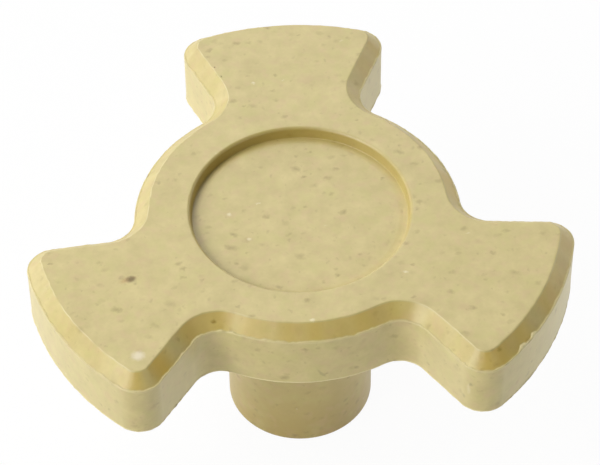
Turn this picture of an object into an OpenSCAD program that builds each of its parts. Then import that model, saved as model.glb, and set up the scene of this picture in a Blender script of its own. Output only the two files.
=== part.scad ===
// Turntable drive coupler of a microwave oven, moulded in one piece.
// A flat plate with three fan-shaped wings carries the glass tray and turns it.
// A round boss below the plate slips over the flatted shaft of the turntable motor.
// Lengths are in millimetres. The origin is the centre of the boss's end face,
// which is the mouth of the shaft bore. +Z points up and one wing points along +Y.

/* [Plate] */
// Diameter of the circle on which the three wing tips lie
tip_d = 54; // [50:0.5:58]
// Diameter of the round middle of the plate, seen between the wings
disc_d = 32.1; // [30:0.1:34]
// Angle between the two flanks of one wing, which point at the axis
wing_angle = 49; // [44:0.5:54]
// Radius of the two outer corners of each wing
corner_r = 2.7; // [2:0.1:3.5]
// Radius of the hollow corner where a flank runs into the disc
fillet_r = 2.85; // [2:0.05:3.5]
// Thickness of the plate
plate_t = 7.25; // [6:0.25:10]
// Width and height of the bevel around the top edge
bevel = 1.5; // [0.8:0.1:1.9]

/* [Recess] */
// Diameter of the round recess in the top face
recess_d = 21; // [16:0.5:24]
// Depth of the recess
recess_depth = 1.1; // [0.8:0.1:2]
// Radius of the rounded lip of the recess
lip_r = 0.6; // [0.2:0.1:0.7]

/* [Boss] */
// Diameter of the boss
boss_d = 14.7; // [13:0.1:18]
// Length of the boss below the plate
boss_len = 20; // [18:0.25:26]
// Width of the bevel around the end of the boss
boss_bevel = 0.3; // [0.1:0.1:0.8]

/* [Shaft bore] */
// Diameter of the bore, for a 7 mm shaft with 0.05 mm of play all round
bore_d = 7.1; // [6:0.1:8]
// Distance from the flat of the bore to the wall opposite, for a shaft 6 mm across its flat
bore_across_flat = 6.1; // [5:0.1:6.2]
// Depth of the bore, which ends blind
bore_depth = 17; // [12:0.5:18]

/* [Hidden] */

wings = 3;
plastic = [0.81, 0.76, 0.55];
tip_r = tip_d / 2;
disc_r = disc_d / 2;
half_wing = wing_angle / 2;
recess_r = recess_d / 2;
bore_r = bore_d / 2;
full_h = boss_len + plate_t;

// An outer corner touches the tip circle from inside, and the flank.
corner_at = tip_r - corner_r;
corner_turn = asin(corner_r / corner_at);
corner_a = half_wing - corner_turn;

// A hollow corner touches the disc from outside, and the flank.
fillet_at = disc_r + fillet_r;
fillet_turn = asin(fillet_r / fillet_at);
fillet_a = half_wing + fillet_turn;

// The straight part of a flank lies between these distances from the axis.
flank_from = fillet_at * cos(fillet_turn);
flank_to = corner_at * cos(corner_turn);

// How far the stretches of rim reach in under the flat top
rim_depth = 2 * corner_r;

// Rounded stretches run this far past their neighbours, so that their faces cross
// and no sliver is left between them.
past = 0.002;
// Length by which a straight stretch reaches into a hollow corner, for the same reason
lap = 0.2;
// Height by which the rim overruns the plate's two flat faces, before they are cut
over = 0.1;

$fn = 144;

// Section of the rim: x is the distance in from the outline, y the height over the plate's
// underside, and depth says how far in the section reaches. The bevel runs on upwards.
function rim_section(depth) = [
    [0, -over],
    [depth, -over],
    [depth, plate_t + over],
    [bevel + over, plate_t + over],
    [0, plate_t - bevel]
];

// A stretch of rim around an outward arc of radius r, filled to its centre.
// It starts on +X and turns through sweep.
module rounded_rim(r, sweep) {
    rotate_extrude(angle = sweep)
        polygon([for (p = rim_section(r)) [r - p[0], p[1]]]);
}

// A stretch of rim around an inward arc of radius r, which also starts on +X
module hollow_rim(r, depth, sweep) {
    rotate_extrude(angle = sweep)
        polygon([for (p = rim_section(depth)) [r + p[0], p[1]]]);
}

// A straight stretch of rim along +X, with the outside of the plate towards +Y
module straight_rim(from, to, depth) {
    translate([from, 0, 0])
        rotate([90, 0, 90])
            linear_extrude(to - from)
                polygon([for (p = rim_section(depth)) [-p[0], p[1]]]);
}

// One flank of a wing that points along +X: its outer corner, its straight part and the
// hollow corner where it runs into the disc
module flank() {
    rotate([0, 0, corner_a])
        translate([corner_at, 0, 0])
            rounded_rim(corner_r + past, 360);
    rotate([0, 0, half_wing])
        straight_rim(flank_from - lap, flank_to, rim_depth);
    rotate([0, 0, fillet_a])
        translate([fillet_at, 0, 0])
            rotate([0, 0, 180])
                hollow_rim(fillet_r + past, rim_depth, 90 - fillet_turn);
}

// One wing that points along +X
module wing() {
    rotate([0, 0, -corner_a])
        rounded_rim(tip_r, 2 * corner_a);
    flank();
    mirror([0, 1, 0])
        flank();
}

// The flat plate, standing on z = 0: the disc, which starts in the middle of a gap between
// two wings, and the wings, all cut to one thickness
module plate() {
    intersection() {
        union() {
            rotate([0, 0, 90 - 180 / wings])
                rounded_rim(disc_r, 360);
            for (i = [0 : wings - 1])
                rotate([0, 0, 90 + i * 360 / wings])
                    wing();
        }
        cylinder(r = tip_r + 1, h = plate_t);
    }
}

// The space of the recess, below and a little above the plane z = 0
module recess() {
    rotate_extrude()
        difference() {
            translate([0, -recess_depth])
                square([recess_r + lip_r, recess_depth + 1]);
            translate([recess_r, -recess_depth - 1])
                square([2 * lip_r, recess_depth + 1 - lip_r]);
            translate([recess_r + lip_r, -lip_r])
                circle(r = lip_r);
        }
}

// The boss, with its end bevelled, reaching into the plate
module boss() {
    cylinder(d1 = boss_d - 2 * boss_bevel, d2 = boss_d, h = boss_bevel);
    translate([0, 0, boss_bevel])
        cylinder(d = boss_d, h = boss_len - boss_bevel + plate_t / 2);
}

// The space of the D-shaped shaft bore, with its flat towards +Y
module shaft_bore() {
    difference() {
        translate([0, 0, -1])
            cylinder(d = bore_d, h = bore_depth + 1);
        translate([-bore_d, bore_across_flat - bore_r, -2])
            cube([2 * bore_d, bore_d, bore_depth + 3]);
    }
}

module coupler() {
    color(plastic)
        difference() {
            union() {
                translate([0, 0, boss_len])
                    plate();
                boss();
            }
            translate([0, 0, full_h])
                recess();
            shaft_bore();
        }
}

coupler();
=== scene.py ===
import math

import bpy
import numpy as np
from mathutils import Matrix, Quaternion, Vector


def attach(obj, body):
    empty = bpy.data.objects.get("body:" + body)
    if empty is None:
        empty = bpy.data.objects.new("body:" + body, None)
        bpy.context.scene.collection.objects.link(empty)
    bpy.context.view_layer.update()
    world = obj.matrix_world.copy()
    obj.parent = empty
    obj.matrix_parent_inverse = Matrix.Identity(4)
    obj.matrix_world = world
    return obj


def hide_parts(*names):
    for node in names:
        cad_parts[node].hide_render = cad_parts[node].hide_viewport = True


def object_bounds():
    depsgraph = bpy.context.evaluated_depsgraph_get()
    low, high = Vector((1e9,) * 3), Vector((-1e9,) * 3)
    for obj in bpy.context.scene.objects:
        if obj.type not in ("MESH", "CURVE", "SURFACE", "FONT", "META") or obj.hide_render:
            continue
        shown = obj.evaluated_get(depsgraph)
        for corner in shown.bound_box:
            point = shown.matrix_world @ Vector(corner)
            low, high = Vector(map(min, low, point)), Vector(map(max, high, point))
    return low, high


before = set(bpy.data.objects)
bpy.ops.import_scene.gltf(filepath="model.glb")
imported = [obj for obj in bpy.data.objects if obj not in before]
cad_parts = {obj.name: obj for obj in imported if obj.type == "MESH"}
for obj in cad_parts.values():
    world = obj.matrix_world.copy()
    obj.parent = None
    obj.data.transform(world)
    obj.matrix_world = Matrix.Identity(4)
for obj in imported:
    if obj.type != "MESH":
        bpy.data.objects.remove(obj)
cad_low, cad_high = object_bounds()


# The plate's outline. The coupler is one moulding of mineral-filled plastic, and the
# outline of its plate was milled into the steel mould with round cutters: a fan-shaped
# wing every 120 degrees, each with round outer corners and hollow corners at the disc.
MM = 0.001
WINGS = 3
tip_radius = cad_high.y / MM
disc_radius = 16.05
half_wing = math.radians(24.5)
corner_radius = 2.7
hollow_radius = 2.85

# Where the corners' centres lie, and where the flank between them starts and ends. All
# lengths are in millimetres, and MM turns them to metres.
corner_at = tip_radius - corner_radius
corner_turn = math.asin(corner_radius / corner_at)
hollow_at = disc_radius + hollow_radius
hollow_turn = math.asin(hollow_radius / hollow_at)
flank_from = hollow_at * math.cos(hollow_turn)
flank_to = corner_at * math.cos(corner_turn)
half_turn_between = math.pi / WINGS
wing_turns = math.pi / 2 + np.arange(WINGS) * 2 * half_turn_between

# Points on each stretch of the outline, from the middle of a wing's tip to the gap
tip_steps, corner_steps, flank_steps, hollow_steps, disc_steps = 60, 32, 36, 28, 48

# Directions, in degrees from the middle of a wing, of the lines to the flank's two ends
flank_directions = (9, 17)


def polar(radius, angle):
    """The points at these distances and angles from the axis, as x and y columns."""
    return np.stack([radius * np.cos(angle), radius * np.sin(angle)], axis=-1)


def arc_stretch(centre, radius, start, end, steps, side=1):
    """An arc of the outline: centre plus radius times the direction, which turns evenly
    from start to end. The outward normal is that direction, or its opposite on a hollow
    arc, where side is -1. The arc's last point is left to the next stretch."""
    angle = np.linspace(start, end, steps, endpoint=False)
    return centre + polar(radius, angle), side * polar(1, angle)


def half_third():
    """Half of one third of the outline, as points and outward normals, from the middle of
    a wing's tip, which points along +X, to the middle of the gap: tip, outer corner,
    flank, hollow corner, disc."""
    tip_end = half_wing - corner_turn
    disc_start = half_wing + hollow_turn
    across = half_wing + math.pi / 2
    origin = polar(0, 0)
    share = np.linspace(0, 1, flank_steps, endpoint=False)[:, None]
    outer, inner = polar(np.array([flank_to, flank_from]), half_wing)
    stretches = [
        arc_stretch(origin, tip_radius, 0, tip_end, tip_steps),
        arc_stretch(polar(corner_at, tip_end), corner_radius, tip_end, across, corner_steps),
        (outer + share * (inner - outer), polar(1, across) + 0 * share),
        arc_stretch(
            polar(hollow_at, disc_start),
            hollow_radius, across - math.pi, disc_start - math.pi, hollow_steps, side=-1,
        ),
        arc_stretch(origin, disc_radius, disc_start, half_turn_between, disc_steps),
    ]
    gap = polar(disc_radius, half_turn_between)[None], polar(1, half_turn_between)[None]
    return [np.concatenate(parts) for parts in zip(*stretches, gap)]


def whole_outline():
    """The closed outline, anticlockwise, as points and outward normals: the half third
    and its mirror image make a third, which is turned to each wing in order."""
    mirror = np.array([1, -1])
    third = [np.concatenate([(a * mirror)[:0:-1], a[:-1]]) for a in half_third()]
    cos, sin = np.cos(wing_turns), np.sin(wing_turns)
    turn = np.stack([np.stack([cos, sin], -1), np.stack([-sin, cos], -1)], -2)
    return [np.einsum("pi,wij->wpj", a, turn).reshape(-1, 2) for a in third]


outline, outward = whole_outline()
columns = len(outline)
step = np.linalg.norm(np.roll(outline, -1, axis=0) - outline, axis=1)
run = np.concatenate([[0], np.cumsum(step)[:-1]])
perimeter = step.sum()


def spread_directions():
    """For each point of the outline, the direction in which its line leaves the middle of
    the plate. The lines stay in order and inside a wing's neck: the joints between the
    stretches get chosen angles, and the angle grows evenly with the run between them."""
    points, _ = half_third()
    length = np.concatenate([[0], np.cumsum(np.linalg.norm(np.diff(points, axis=0), axis=1))])
    joints = np.cumsum([0, tip_steps + corner_steps, flank_steps, hollow_steps, disc_steps])
    angles = [0, *flank_directions, math.degrees(half_wing + hollow_turn), 180 / WINGS]
    half = np.interp(length, length[joints], np.radians(angles))
    third = np.concatenate([-half[:0:-1], half[:-1]])
    return (wing_turns[:, None] + third).ravel()


direction = spread_directions()


def uneven(reach, seed):
    """Smooth random unevenness along the closed outline, about -1 to 1: white noise whose
    waves shorter than reach, in millimetres, are faded out."""
    even = np.linspace(0, perimeter, 4 * columns, endpoint=False)
    waves = np.fft.rfft(np.random.default_rng(seed).normal(size=len(even)))
    length = perimeter / np.maximum(np.arange(len(waves)), 1)
    waves *= np.exp(-((reach / length) ** 2))
    waves[0] = 0
    noise = np.fft.irfft(waves, len(even))
    return np.interp(run, even, noise / (2 * noise.std()))


# The plate's rim, from the flat top down to the flat underside. The upper half of the
# mould holds the bevel and is a little smaller than the lower one, so the bevel ends on a
# bead of flash over a hair-thin ledge, and a fin of flash runs along the bottom edge.
plate_top = cad_high.z / MM
plate_thickness = 7.25
plate_bottom = plate_top - plate_thickness
bevel = 1.5
bevel_lean = 45
edge_radius = 0.2
edge_wobble = 0.02
ledge = 0.09
fin_reach = 0.06

# A row this far from an edge keeps the face beside it flat.
margin = 0.2


def along_rim(inset, height, painted_highlight=0, painted_shade=0):
    """A row of the surface that follows the outline, inset by so much along the normal. Its
    columns are x, y, z, the painted highlight, 0 to 1, and the painted shade, 0 to 1 on the
    bevel, or 0 to -1 for the darker painted shade in the recess."""
    x, y = (outline - np.reshape(inset, (-1, 1)) * outward).T
    return np.stack(np.broadcast_arrays(x, y, height, painted_highlight, painted_shade), axis=1)


def between(a, b, shares):
    """Rows part of the way from row a to row b, at these shares of the way."""
    return [a + share * (b - a) for share in shares]


def round_profile(inset, height, radius, start, end, steps):
    """Points of a rounded edge, as inset and height: a centre plus radius times the
    direction, which turns from start to end, 90 degrees being up and 0 outward."""
    angle = np.radians(np.linspace(start, end, steps))
    inward, upward = inset - radius * np.cos(angle), height + radius * np.sin(angle)
    return list(zip(inward, upward))


def painted_edge_highlight():
    """How strong the painted highlight on the top edge is, 0 to 1: uneven, times how far the
    outline faces left (-X), towards the lamps."""
    return np.clip(-outward[:, 0], 0, 1) * (0.7 + 0.4 * uneven(1.5, 5))


def painted_wall_sheen():
    """How strong the painted sheen on the walls is, 0 to 1: the fourth power of how far the
    outline faces right (+X), and 0.4 times the square of how far it faces left (-X)."""
    across = outward[:, 0]
    return np.where(across > 0, across**4, 0.4 * across**2)


def painted_bevel_shade():
    """How strong the painted golden shade on the bevel is, 0 to 1: uneven, and less as far
    as the outline faces left (-X), towards the lamps."""
    return (1 - np.clip(-outward[:, 0], 0, 1)) * np.clip(0.42 + 0.3 * uneven(3, 6), 0, 1)


def scrap():
    """The two lumps of a ragged scrap of flash that was left on the tip of the right wing,
    0 to 1: a bell curve along the outline around each lump's place, with its width, both
    as angles at the axis in degrees."""
    angle = np.degrees(np.arctan2(outline[:, 1], outline[:, 0])) % 360
    lumps = [(318.3, 1.3), (321.8, 0.9)]
    bells = [np.exp(-(((angle - at) / width) ** 2)) for at, width in lumps]
    return np.clip(sum(bells) * (0.9 + 0.5 * uneven(0.2, 4)), 0, 1)


def bead_rows():
    """The bead of flash at the foot of the bevel: a low rounded ridge between the bevel and
    the wall. Its points are inset and height times size, and a share of its painted highlight."""
    foot = plate_top - bevel
    size = 0.9 + 0.35 * uneven(0.7, 2) + 1.3 * scrap()
    painted_highlight = 0.45 + 0.4 * scrap()
    ridge = [
        (0.16, 0.16, 0), (0.12, 0.165, 0.6), (0.07, 0.165, 1), (0.01, 0.135, 1), (-0.02, 0.08, 1),
    ]
    rows = [along_rim(ledge + i * size, foot + h * size, share * painted_highlight) for i, h, share in ridge]
    rows.append(along_rim(ledge - 0.01, foot, np.maximum(0.3 * painted_highlight, painted_wall_sheen())))
    rows.append(along_rim(ledge, foot - 0.08, painted_wall_sheen()))
    return rows


def fin_rows():
    """The fin of flash along the bottom edge. Its points are how far it stands out from the
    wall, as a share of its size, the height over the underside, and its painted highlight."""
    size = np.clip(fin_reach * (0.7 + 0.5 * uneven(0.7, 3)), 0.01, ledge)
    lip = [
        (0, 0.16, 0), (0, 0.1, 0.7), (0.6, 0.08, 1), (1, 0.045, 1), (0.9, 0.01, 1), (0.7, 0, 1),
    ]
    rows = [
        along_rim(ledge - out * size, plate_bottom + up, np.maximum(painted_highlight, painted_wall_sheen()))
        for out, up, painted_highlight in lip
    ]
    return rows + [along_rim(ledge + margin, plate_bottom)]


def rim_rows():
    """The rows of the rim: the rounded top edge, the bevel, the bead, the wall, the fin.
    The top edge starts in from the bevel's sharp corner by its radius times the tangent
    of half the turn, and wanders a little, more so where it carries the painted highlight."""
    painted_highlight = painted_edge_highlight()
    rounding = edge_radius * math.tan(math.radians(bevel_lean / 2))
    top_edge = bevel + edge_wobble * (1 + 2 * painted_highlight) * uneven(1.2, 1) + rounding
    rows = [along_rim(top_edge + margin, plate_top)]
    profile = round_profile(0, plate_top - edge_radius, edge_radius, 90, 90 - bevel_lean, 5)
    for (inset, height), share in zip(profile, (0, 1, 1, 0.7, 0)):
        rows.append(along_rim(top_edge + inset, height, share * painted_highlight))
    bead = bead_rows()
    slope = between(rows[-1], bead[0], (0.06, 0.5, 0.94))
    # painted golden shade on the bevel, deepest where it faces away from the left lamps
    for row in slope:
        row[:, 4] = painted_bevel_shade()
    wall_heights = (plate_top - bevel - 0.3, plate_bottom + 2.7, plate_bottom + 0.3)
    wall = [along_rim(ledge, height, painted_wall_sheen()) for height in wall_heights]
    return rows + slope + bead + wall + fin_rows()


# The recess in the middle of the top face. It is shallow, with a flat floor that sinks a
# little towards its edge and a steep wall under a rounded lip. The insert that formed it
# sat slightly off the middle of the mould. Painted shade darkens its foot, wall and lip.
recess_radius = 11.03
recess_depth = 1.1
recess_offset = 0.2
foot_radius = 0.08
lip_radius = 0.35
sink_depth = 0.1
sink_width = 0.7
wall_lean = 8
darkest_towards = 140

# The lines stay straight as far as this circle, which runs inside the wings' necks.
neck_radius = 13.2


def ring(radius, height, painted_shade=0):
    """A row of the surface that is a level circle, with one point in each direction."""
    x, y = polar(radius, direction).T
    return np.stack(np.broadcast_arrays(x, y, height, 0, painted_shade), axis=1)


def round_rows(radius, height, turn_radius, start, end, steps, painted_shades=(0, 0)):
    """Rows of a rounded edge on a circle: 90 degrees is up and 0 is away from the axis. The
    painted shade goes evenly from the first of painted_shades to the second."""
    angle = np.radians(np.linspace(start, end, steps))
    painted_shade = np.linspace(*painted_shades, steps)
    return [
        ring(radius + turn_radius * c, height + turn_radius * s, f)
        for c, s, f in zip(np.cos(angle), np.sin(angle), painted_shade)
    ]


def recess_rows():
    """The rows of the recess, from the middle of its floor to the end of its lip. The wall
    leans out by wall_lean degrees between the rounded foot and the lip. The painted shade on
    it is deepest towards darkest_towards, in degrees, and fades with the cosine of the angle."""
    lip, foot, lean = lip_radius, foot_radius, math.radians(wall_lean)
    floor = plate_top - recess_depth
    foot_height = floor - sink_depth + foot
    wall_height = recess_depth + sink_depth - (lip + foot) * (1 - math.sin(lean))
    foot_at = recess_radius - (lip + foot) * math.cos(lean) - wall_height * math.tan(lean)
    dark = -0.55 - 0.45 * np.cos(direction - math.radians(darkest_towards))
    floor_radii = (3.5, 7, foot_at - sink_width - margin, foot_at - sink_width)
    rows = [ring(radius, floor) for radius in floor_radii]
    rows += round_rows(foot_at, foot_height, foot, -90, -wall_lean, 5, (0.6 * dark, dark))
    rows += round_rows(recess_radius, plate_top - lip, lip, 180 - wall_lean, 90, 9, (dark, 0))
    rows.append(ring(recess_radius + 0.3, plate_top))
    return [row + [recess_offset, 0, 0, 0, 0] for row in rows]


# The boss below the plate, which slips over the motor's shaft. It was moulded in one with
# the plate, over a core pin that leaves the D-shaped blind bore, with its flat towards +Y.
boss_radius = 7.35
boss_bevel = 0.3
root_radius = 0.2
bore_radius = 3.55
flat_at = 2.55
bore_depth = 17


def bore_ring(clearance, height):
    """A row around the D-shaped bore, wider by clearance: the circle, cut off by the flat."""
    rise = np.maximum(np.sin(direction), 0.01)
    return ring(np.minimum(bore_radius, flat_at / rise) + clearance, height)


def root_rows():
    """The hollow fillet where the boss joins the underside: a quarter circle around a
    centre that lies root_radius off both."""
    angles = np.radians(np.linspace(0, 90, 4))
    reach, low = boss_radius + root_radius, plate_bottom - root_radius
    return [
        ring(reach - root_radius * s, low + root_radius * c)
        for s, c in zip(np.sin(angles), np.cos(angles))
    ]


def boss_rows():
    """The rows of the underside, the boss and its bore, from the rim to the bore's end. The
    bore's rows are given as clearance and height."""
    rows = [ring(neck_radius, plate_bottom), ring(boss_radius + 0.6, plate_bottom)]
    rows += root_rows()
    shaft_heights = (plate_bottom - 0.5, plate_bottom / 2, boss_bevel + 0.25)
    rows += [ring(boss_radius, height) for height in shaft_heights]
    rows += round_rows(boss_radius - boss_bevel, boss_bevel, boss_bevel, 0, -90, 6)
    rows.append(ring(boss_radius - boss_bevel - margin, 0))
    mouth = [(0.4, 0), (0.2, 0), (0.05, 0.04), (0, 0.2), (0, 0.5)]
    end = [(0, bore_depth - 0.3), (0, bore_depth), (-0.3, bore_depth)]
    return rows + [bore_ring(clearance, height) for clearance, height in mouth + end]


# The moulding itself: one closed skin. Each point of the outline has a line that runs from
# the middle of the recess over the top, down the rim, along the underside and the boss to
# the end of the bore.
here = np.arange(columns)
next_to_it = (here + 1) % columns


def skin_rows():
    """All rows in order, with the flat parts of the plate bridged at uneven shares."""
    top = recess_rows() + [ring(neck_radius, plate_top)]
    rim, boss = rim_rows(), boss_rows()
    over_top = between(top[-1], rim[0], (0.3, 0.6, 0.9))
    underneath = between(rim[-1], boss[0], (0.1, 0.5))
    return top + over_top + rim + underneath + boss


def grid_faces(rows):
    """The quads between neighbouring rows, closed round the outline."""
    row = np.arange(rows - 1)[:, None] * columns
    below = row + columns
    corners = [row + here, below + here, below + next_to_it, row + next_to_it]
    return np.stack(corners, axis=-1).reshape(-1, 4)


def add_mesh(name, points, quads, triangles):
    """A smooth-shaded object at the origin, whose points are given in millimetres."""
    mesh = bpy.data.meshes.new(name)
    mesh.from_pydata((points * MM).tolist(), [], quads.tolist() + triangles.tolist())
    mesh.polygons.foreach_set("use_smooth", np.ones(len(mesh.polygons), bool))
    mesh.update()
    piece = bpy.data.objects.new(name, mesh)
    bpy.context.scene.collection.objects.link(piece)
    return piece


def mould_coupler():
    """The grid of rows by columns, closed at each end of the axis by a fan to one point.
    The rows' last two columns go into the attributes of the painted highlight and painted shade."""
    rows = skin_rows()
    count = len(rows)
    middle = [[0, 0, rows[0][0, 2], 0, 0], [0, 0, rows[-1][0, 2], 0, 0]]
    points = np.concatenate(rows + [middle])
    start = np.full(columns, count * columns)
    first = np.stack([start, here, next_to_it], axis=-1)
    last_row = (count - 1) * columns
    last = np.stack([last_row + here, start + 1, last_row + next_to_it], axis=-1)
    fans = np.concatenate([first, last])
    piece = add_mesh("moulding", points[:, :3], grid_faces(count), fans)
    for name, column in (("painted_highlight", 3), ("painted_shade", 4)):
        attribute = piece.data.attributes.new(name, "FLOAT", "POINT")
        attribute.data.foreach_set("value", points[:, column].copy())
    return piece


moulding = mould_coupler()
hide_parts("coupler")
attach(moulding, "root")


# The plastic: a heat-proof resin, filled with ground mineral and glass and moulded in
# polished steel. It is sand-coloured and softly mottled, with a dull sheen, and grains of
# the filler show as small brown and grey specks and a few white ones.
def linear(hex_colour):
    """An sRGB colour such as D1C492 as linear red, green, blue and an alpha of 1."""
    srgb = np.array([int(hex_colour[i:i + 2], 16) for i in (0, 2, 4)]) / 255
    low = srgb / 12.92
    high = ((srgb + 0.055) / 1.055) ** 2.4
    return (*np.where(srgb <= 0.04045, low, high), 1)


def add_node(tree, kind, inputs=(), **settings):
    """A node with its settings. inputs are pairs of a socket and a value or a link."""
    node = tree.nodes.new(kind)
    for name, value in settings.items():
        setattr(node, name, value)
    for socket, value in inputs:
        if isinstance(value, bpy.types.NodeSocket):
            tree.links.new(value, node.inputs[socket])
        else:
            node.inputs[socket].default_value = value
    return node


def new_material(name):
    """An empty material, its node tree and its output node."""
    material = bpy.data.materials.new(name)
    material.use_nodes = True
    tree = material.node_tree
    tree.nodes.clear()
    return material, tree, add_node(tree, "ShaderNodeOutputMaterial")


def per_mm(spacing):
    """The scale at which a pattern repeats about once in this many millimetres."""
    return 1 / (spacing * MM)


def shifted(tree, place, amount, spacing):
    """The place, moved about by a soft noise, so that round patterns come out irregular:
    amount, in millimetres, times the noise less a half is added to it."""
    noise = add_node(tree, "ShaderNodeTexNoise", [("Vector", place), ("Scale", per_mm(spacing))])
    sway = add_node(
        tree, "ShaderNodeVectorMath",
        [(0, noise.outputs["Color"]), (1, (0.5, 0.5, 0.5))], operation="SUBTRACT",
    )
    return add_node(
        tree, "ShaderNodeVectorMath",
        [(0, sway.outputs[0]), (1, (amount * MM,) * 3), (2, place)], operation="MULTIPLY_ADD",
    ).outputs[0]


def grains(tree, place, spacing, size, bare, turn):
    """How much of a grain there is at a place, 0 to 1. Grains lie about one spacing apart
    through the whole plastic, are half as long again in the direction turn, and bare is
    the share of them that are too small to see. A grain grows from nothing at its reach
    to full at a tenth of it, times a random strength of its own."""
    place = add_node(
        tree, "ShaderNodeMapping",
        [("Vector", place), ("Rotation", (0, 0, math.radians(turn))), ("Scale", (1.5, 1, 1))],
        vector_type="TEXTURE",
    ).outputs[0]
    cells = add_node(
        tree, "ShaderNodeTexVoronoi", [("Vector", place), ("Scale", per_mm(spacing))],
    ).outputs
    random = add_node(tree, "ShaderNodeSeparateColor", [(0, cells["Color"])]).outputs
    reach = add_node(
        tree, "ShaderNodeMapRange",
        [(0, random[0]), (1, bare), (2, 1.0), (3, 0.0), (4, size / 2 / spacing)],
    ).outputs[0]
    core = add_node(tree, "ShaderNodeMath", [(0, reach), (1, 0.1)], operation="MULTIPLY")
    inside = add_node(
        tree, "ShaderNodeMapRange", [(0, cells["Distance"]), (1, reach), (2, core.outputs[0])],
    )
    return add_node(
        tree, "ShaderNodeMath", [(0, inside.outputs[0]), (1, random[1])], operation="MULTIPLY",
    ).outputs[0]


def one_grain(tree, place, at, size, turn):
    """How much of one large grain there is at a place: an oval of this size, around at,
    which grows from nothing a little outside the oval to full near its middle."""
    oval = add_node(
        tree, "ShaderNodeMapping",
        [
            ("Vector", place),
            ("Location", tuple(MM * v for v in at)),
            ("Rotation", tuple(math.radians(v) for v in turn)),
            ("Scale", tuple(MM * v / 2 for v in size)),
        ],
        vector_type="TEXTURE",
    )
    away = add_node(tree, "ShaderNodeVectorMath", [(0, oval.outputs[0])], operation="LENGTH")
    return add_node(
        tree, "ShaderNodeMapRange", [(0, away.outputs["Value"]), (1, 1.2), (2, 0.2)],
        interpolation_type="SMOOTHSTEP",
    ).outputs[0]


# The mottling and the grit of the surface, by the size of one mottle and one bump in mm
mottle_size = 2.2
grit_size = 0.3
grit_height = 0.012

# Painted shade makes the boss more golden towards its end, under the plate: not at all at
# the first of these heights, and fully at the second.
boss_shade_heights = (14, 1)

PATCHES = [
    # spacing in mm, colour, strength: soft pinkish and greenish patches
    (1.3, "CFAE80", 0.3),
    (1.9, "C8C170", 0.3),
]

FILLER = [
    # spacing in mm, largest size, share too small to see, turn in degrees, colour, strength
    (0.55, 0.45, 0.3, 80, "A8935A", 0.5),
    (0.95, 0.8, 0.2, 15, "8A6E2C", 0.55),
    (1.5, 1.0, 0.3, -25, "7C5C1C", 0.55),
    (2.2, 0.5, 0.5, 0, "F2E9C4", 0.8),
]

LARGE_GRAINS = [
    # place in mm, length, width and depth, turn about X, Y and Z, colour, strength
    ((-16.7, -8.05, 27.25), (2.0, 0.8, 0.6), (0, 0, 20), "B98A46", 0.6),
    ((-16.45, -8.0, 27.25), (1.2, 0.95, 0.6), (0, 0, 20), "725C02", 0.95),
    ((-16.07, -17.45, 27.25), (1.5, 1.3, 0.8), (0, 0, 0), "FFF6E6", 0.45),
    ((17.42, -18.9, 26.9), (0.7, 0.6, 0.6), (0, 0, 0), "5E5226", 0.8),
    ((-6.71, 0.61, 26.15), (0.6, 0.55, 0.5), (0, 0, 0), "F6EDC6", 0.55),
    ((-4.95, -2.77, 26.15), (0.5, 0.45, 0.5), (0, 0, 0), "F2E9BC", 0.5),
    ((0.34, -14.34, 27.25), (0.6, 0.5, 0.5), (0, 0, 0), "F6EDC6", 0.6),
    ((7.61, -7.63, 27.25), (0.5, 0.4, 0.5), (0, 0, 0), "F2E9BC", 0.5),
    ((-8.83, -13.26, 26.5), (0.7, 0.4, 0.7), (0, 0, 0), "66501F", 0.8),
    ((-10.06, -15.5, 25.6), (0.4, 0.6, 0.5), (0, 0, 0), "5A4722", 0.8),
    # a scratch on the front wall, and a scuff on the right wing's front corner
    ((1.1, -15.92, 21.17), (1.7, 0.5, 0.34), (0, 60, 0), "6E5E2C", 0.28),
    ((14.62, -20.15, 22.88), (0.5, 0.5, 1.8), (0, 0, -38), "EADFB8", 0.35),
    ((14.23, -19.78, 21.45), (0.5, 0.5, 0.6), (0, 0, 0), "6A5A2E", 0.35),
    ((14.8, -20.28, 23.64), (0.5, 0.5, 0.6), (0, 0, 0), "6A5A2E", 0.35),
]

PAINTED_LIGHT = [
    # attribute, its value where the tint is full, colour, strength: the painted highlights and
    # sheen on edges and walls, the painted golden shade on the bevel and the darker painted shade
    # in the recess's corner
    ("painted_highlight", 1, "F2E6B4", 0.65),
    ("painted_shade", 1, "D6AE20", 0.75),
    ("painted_shade", -1, "A68C2E", 0.8),
]


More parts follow.
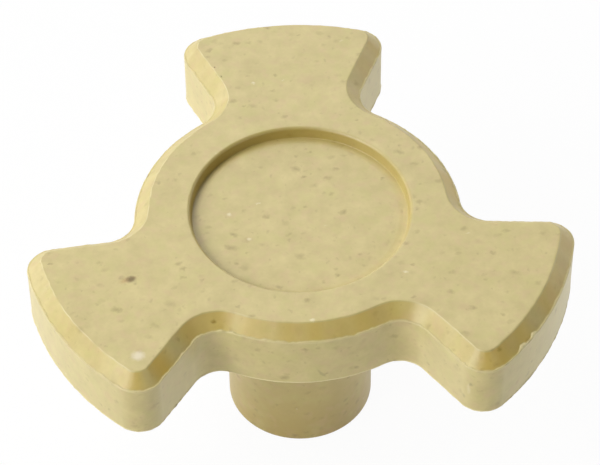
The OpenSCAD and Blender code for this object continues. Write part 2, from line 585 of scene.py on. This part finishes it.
def mineral_filled_plastic():
    """Two sand colours mixed by a noise for the mottling. Tints go over them one by one,
    each by its share times its strength: the painted shade at the boss's end, the patches,
    the filler, the large grains, and the painted highlights and painted shade. The grit is a fine
    noise that lifts the surface."""
    material, tree, output = new_material("mineral_filled_plastic")
    place = add_node(tree, "ShaderNodeTexCoord").outputs["Object"]
    height = add_node(tree, "ShaderNodeSeparateXYZ", [(0, place)]).outputs["Z"]
    # painted shade: more golden towards the boss's end
    none_at, full_at = boss_shade_heights
    boss_shade = add_node(
        tree, "ShaderNodeMapRange", [(0, height), (1, none_at * MM), (2, full_at * MM)],
    )
    tints = [(boss_shade.outputs[0], "BBA354", 1)]
    for spacing, colour, strength in PATCHES:
        noise = add_node(
            tree, "ShaderNodeTexNoise", [("Vector", place), ("Scale", per_mm(spacing))],
        )
        patch = add_node(
            tree, "ShaderNodeMapRange", [(0, noise.outputs["Fac"]), (1, 0.5), (2, 0.7)],
        )
        tints.append((patch.outputs[0], colour, strength))
    uneven_place = shifted(tree, place, 0.6, 0.5)
    for spacing, size, bare, turn, colour, strength in FILLER:
        grain = grains(tree, uneven_place, spacing, size, bare, turn)
        tints.append((grain, colour, strength))
    less_uneven_place = shifted(tree, place, 0.35, 0.4)
    for at, size, turn, colour, strength in LARGE_GRAINS:
        grain = one_grain(tree, less_uneven_place, at, size, turn)
        tints.append((grain, colour, strength))
    # the painted highlights and painted shade, carried by the mesh's attributes
    for name, full, colour, strength in PAINTED_LIGHT:
        painted_amount = add_node(tree, "ShaderNodeAttribute", attribute_name=name).outputs["Fac"]
        share = add_node(tree, "ShaderNodeMapRange", [(0, painted_amount), (1, 0), (2, full)])
        tints.append((share.outputs[0], colour, strength))

    mottling = add_node(
        tree, "ShaderNodeTexNoise",
        [("Vector", place), ("Scale", per_mm(mottle_size)), ("Detail", 3), ("Roughness", 0.7)],
    )
    base = add_node(
        tree, "ShaderNodeMix",
        [("Factor", mottling.outputs["Fac"]), (6, linear("BAA968")), (7, linear("DFCE8B"))],
        data_type="RGBA",
    )
    for share, colour, strength in tints:
        share = add_node(
            tree, "ShaderNodeMath", [(0, share), (1, strength)], operation="MULTIPLY",
        )
        base = add_node(
            tree, "ShaderNodeMix",
            [("Factor", share.outputs[0]), (6, base.outputs[2]), (7, linear(colour))],
            data_type="RGBA",
        )
    grit = add_node(
        tree, "ShaderNodeTexNoise",
        [("Vector", place), ("Scale", per_mm(grit_size)), ("Detail", 2)],
    )
    bump = add_node(
        tree, "ShaderNodeBump",
        [("Strength", 0.5), ("Distance", grit_height * MM), ("Height", grit.outputs["Fac"])],
    )
    shader = add_node(
        tree, "ShaderNodeBsdfPrincipled",
        [
            ("Base Color", base.outputs[2]),
            ("Roughness", 0.42),
            ("IOR", 1.7),
            ("Normal", bump.outputs[0]),
        ],
    )
    tree.links.new(shader.outputs["BSDF"], output.inputs["Surface"])
    return material


moulding.data.materials.append(mineral_filled_plastic())


# The floor that the coupler stands on: a wide sheet of white paper. It lies a hair below
# the boss's end, so that the two faces don't fall together.
paper_reach = 3000
paper_height = -0.05
paper_share = 0.05


def paper_floor():
    """A level square, paper_reach from the axis to each side. It glows white where it is
    seen, itself or in a reflection, apart from paper_share of it, which keeps the shadow."""
    x, y = np.array([(-1, -1), (1, -1), (1, 1), (-1, 1)]).T * paper_reach
    points = np.stack(np.broadcast_arrays(x, y, paper_height), axis=1)
    floor = add_mesh("floor", points, np.array([[0, 1, 2, 3]]), np.empty((0, 3), int))
    material, tree, output = new_material("white_paper")
    rays = add_node(tree, "ShaderNodeLightPath").outputs
    seen = rays["Is Camera Ray"]
    for ray in ("Is Glossy Ray", "Is Transmission Ray"):
        seen = add_node(
            tree, "ShaderNodeMath", [(0, seen), (1, rays[ray])], operation="MAXIMUM",
        ).outputs[0]
    white_share = add_node(
        tree, "ShaderNodeMath", [(0, seen), (1, 1 - paper_share)], operation="MULTIPLY",
    )
    paper = add_node(tree, "ShaderNodeBsdfDiffuse", [("Color", linear("FAFAFA"))])
    white = add_node(tree, "ShaderNodeEmission", [("Color", (1, 1, 1, 1)), ("Strength", 1)])
    mix = add_node(
        tree, "ShaderNodeMixShader",
        [(0, white_share.outputs[0]), (1, paper.outputs[0]), (2, white.outputs[0])],
    )
    tree.links.new(mix.outputs[0], output.inputs["Surface"])
    floor.data.materials.append(material)


paper_floor()


# The studio: a dim white room and seven large soft lamps. The strongest two stand high on
# the left, one stands high behind, and four low ones around it light the plate's walls.
room_strength = 0.03
lamp_width = 360
lamp_distance = 600


def white_room():
    """The room's walls, which give the same faint white light from everywhere."""
    world = bpy.data.worlds.new("studio")
    bpy.context.scene.world = world
    world.use_nodes = True
    wall = world.node_tree.nodes["Background"].inputs
    wall["Color"].default_value = (1, 1, 1, 1)
    wall["Strength"].default_value = room_strength


def direction_to(azimuth, elevation):
    """The direction from the plate to a place in the studio, from its azimuth, counted from
    the front towards the right, and its elevation, both in degrees."""
    a, e = math.radians(azimuth), math.radians(elevation)
    return Vector((math.sin(a) * math.cos(e), -math.cos(a) * math.cos(e), math.sin(e)))


def soft_lamp(name, azimuth, elevation, strength):
    """A large square lamp that faces the plate. strength is what it adds to a white
    surface that faces it: the power grows with the square of the distance."""
    towards = direction_to(azimuth, elevation)
    lamp = bpy.data.lights.new(name, "AREA")
    lamp.size = lamp_width * MM
    lamp.energy = strength * (math.pi * lamp_distance * MM) ** 2
    holder = bpy.data.objects.new(name, lamp)
    holder.location = towards * lamp_distance * MM + Vector((0, 0, plate_top * MM))
    holder.rotation_mode = "QUATERNION"
    holder.rotation_quaternion = towards.to_track_quat("Z", "Y")
    bpy.context.scene.collection.objects.link(holder)


white_room()
soft_lamp("left_lamp", -90, 60, 0.33)
soft_lamp("key_lamp", -60, 35, 0.58)
soft_lamp("back_lamp", 180, 48, 0.28)
soft_lamp("low_right_lamp", 120, 12, 0.21)
soft_lamp("low_left_lamp", -120, 12, 0.3)
soft_lamp("low_back_lamp", 180, 12, 0.2)
soft_lamp("low_front_lamp", 45, 8, 0.16)


# The camera looks down on the coupler from the front, through a long lens. Its place and
# lens are the ones at which the plate's outlines lie as they do in the photograph.
camera_azimuth = -3.41
camera_elevation = 48.09
camera_roll = -0.685
camera_distance = 273.08
camera_aim = Vector((-0.03, -3.26, plate_top))
focal_length = 170.1
sensor_width = 36

camera = bpy.data.cameras.new("camera")
camera.lens = focal_length
camera.sensor_width = sensor_width
camera.clip_start = 0.01
camera.clip_end = 20
back = direction_to(camera_azimuth, camera_elevation)
roll = Quaternion((0, 0, 1), math.radians(camera_roll))
tripod = bpy.data.objects.new("camera", camera)
tripod.location = (camera_aim + back * camera_distance) * MM
tripod.rotation_mode = "QUATERNION"
tripod.rotation_quaternion = back.to_track_quat("Z", "Y") @ roll
bpy.context.scene.collection.objects.link(tripod)
bpy.context.scene.camera = tripod
bpy.context.scene.view_settings.view_transform = "Standard"
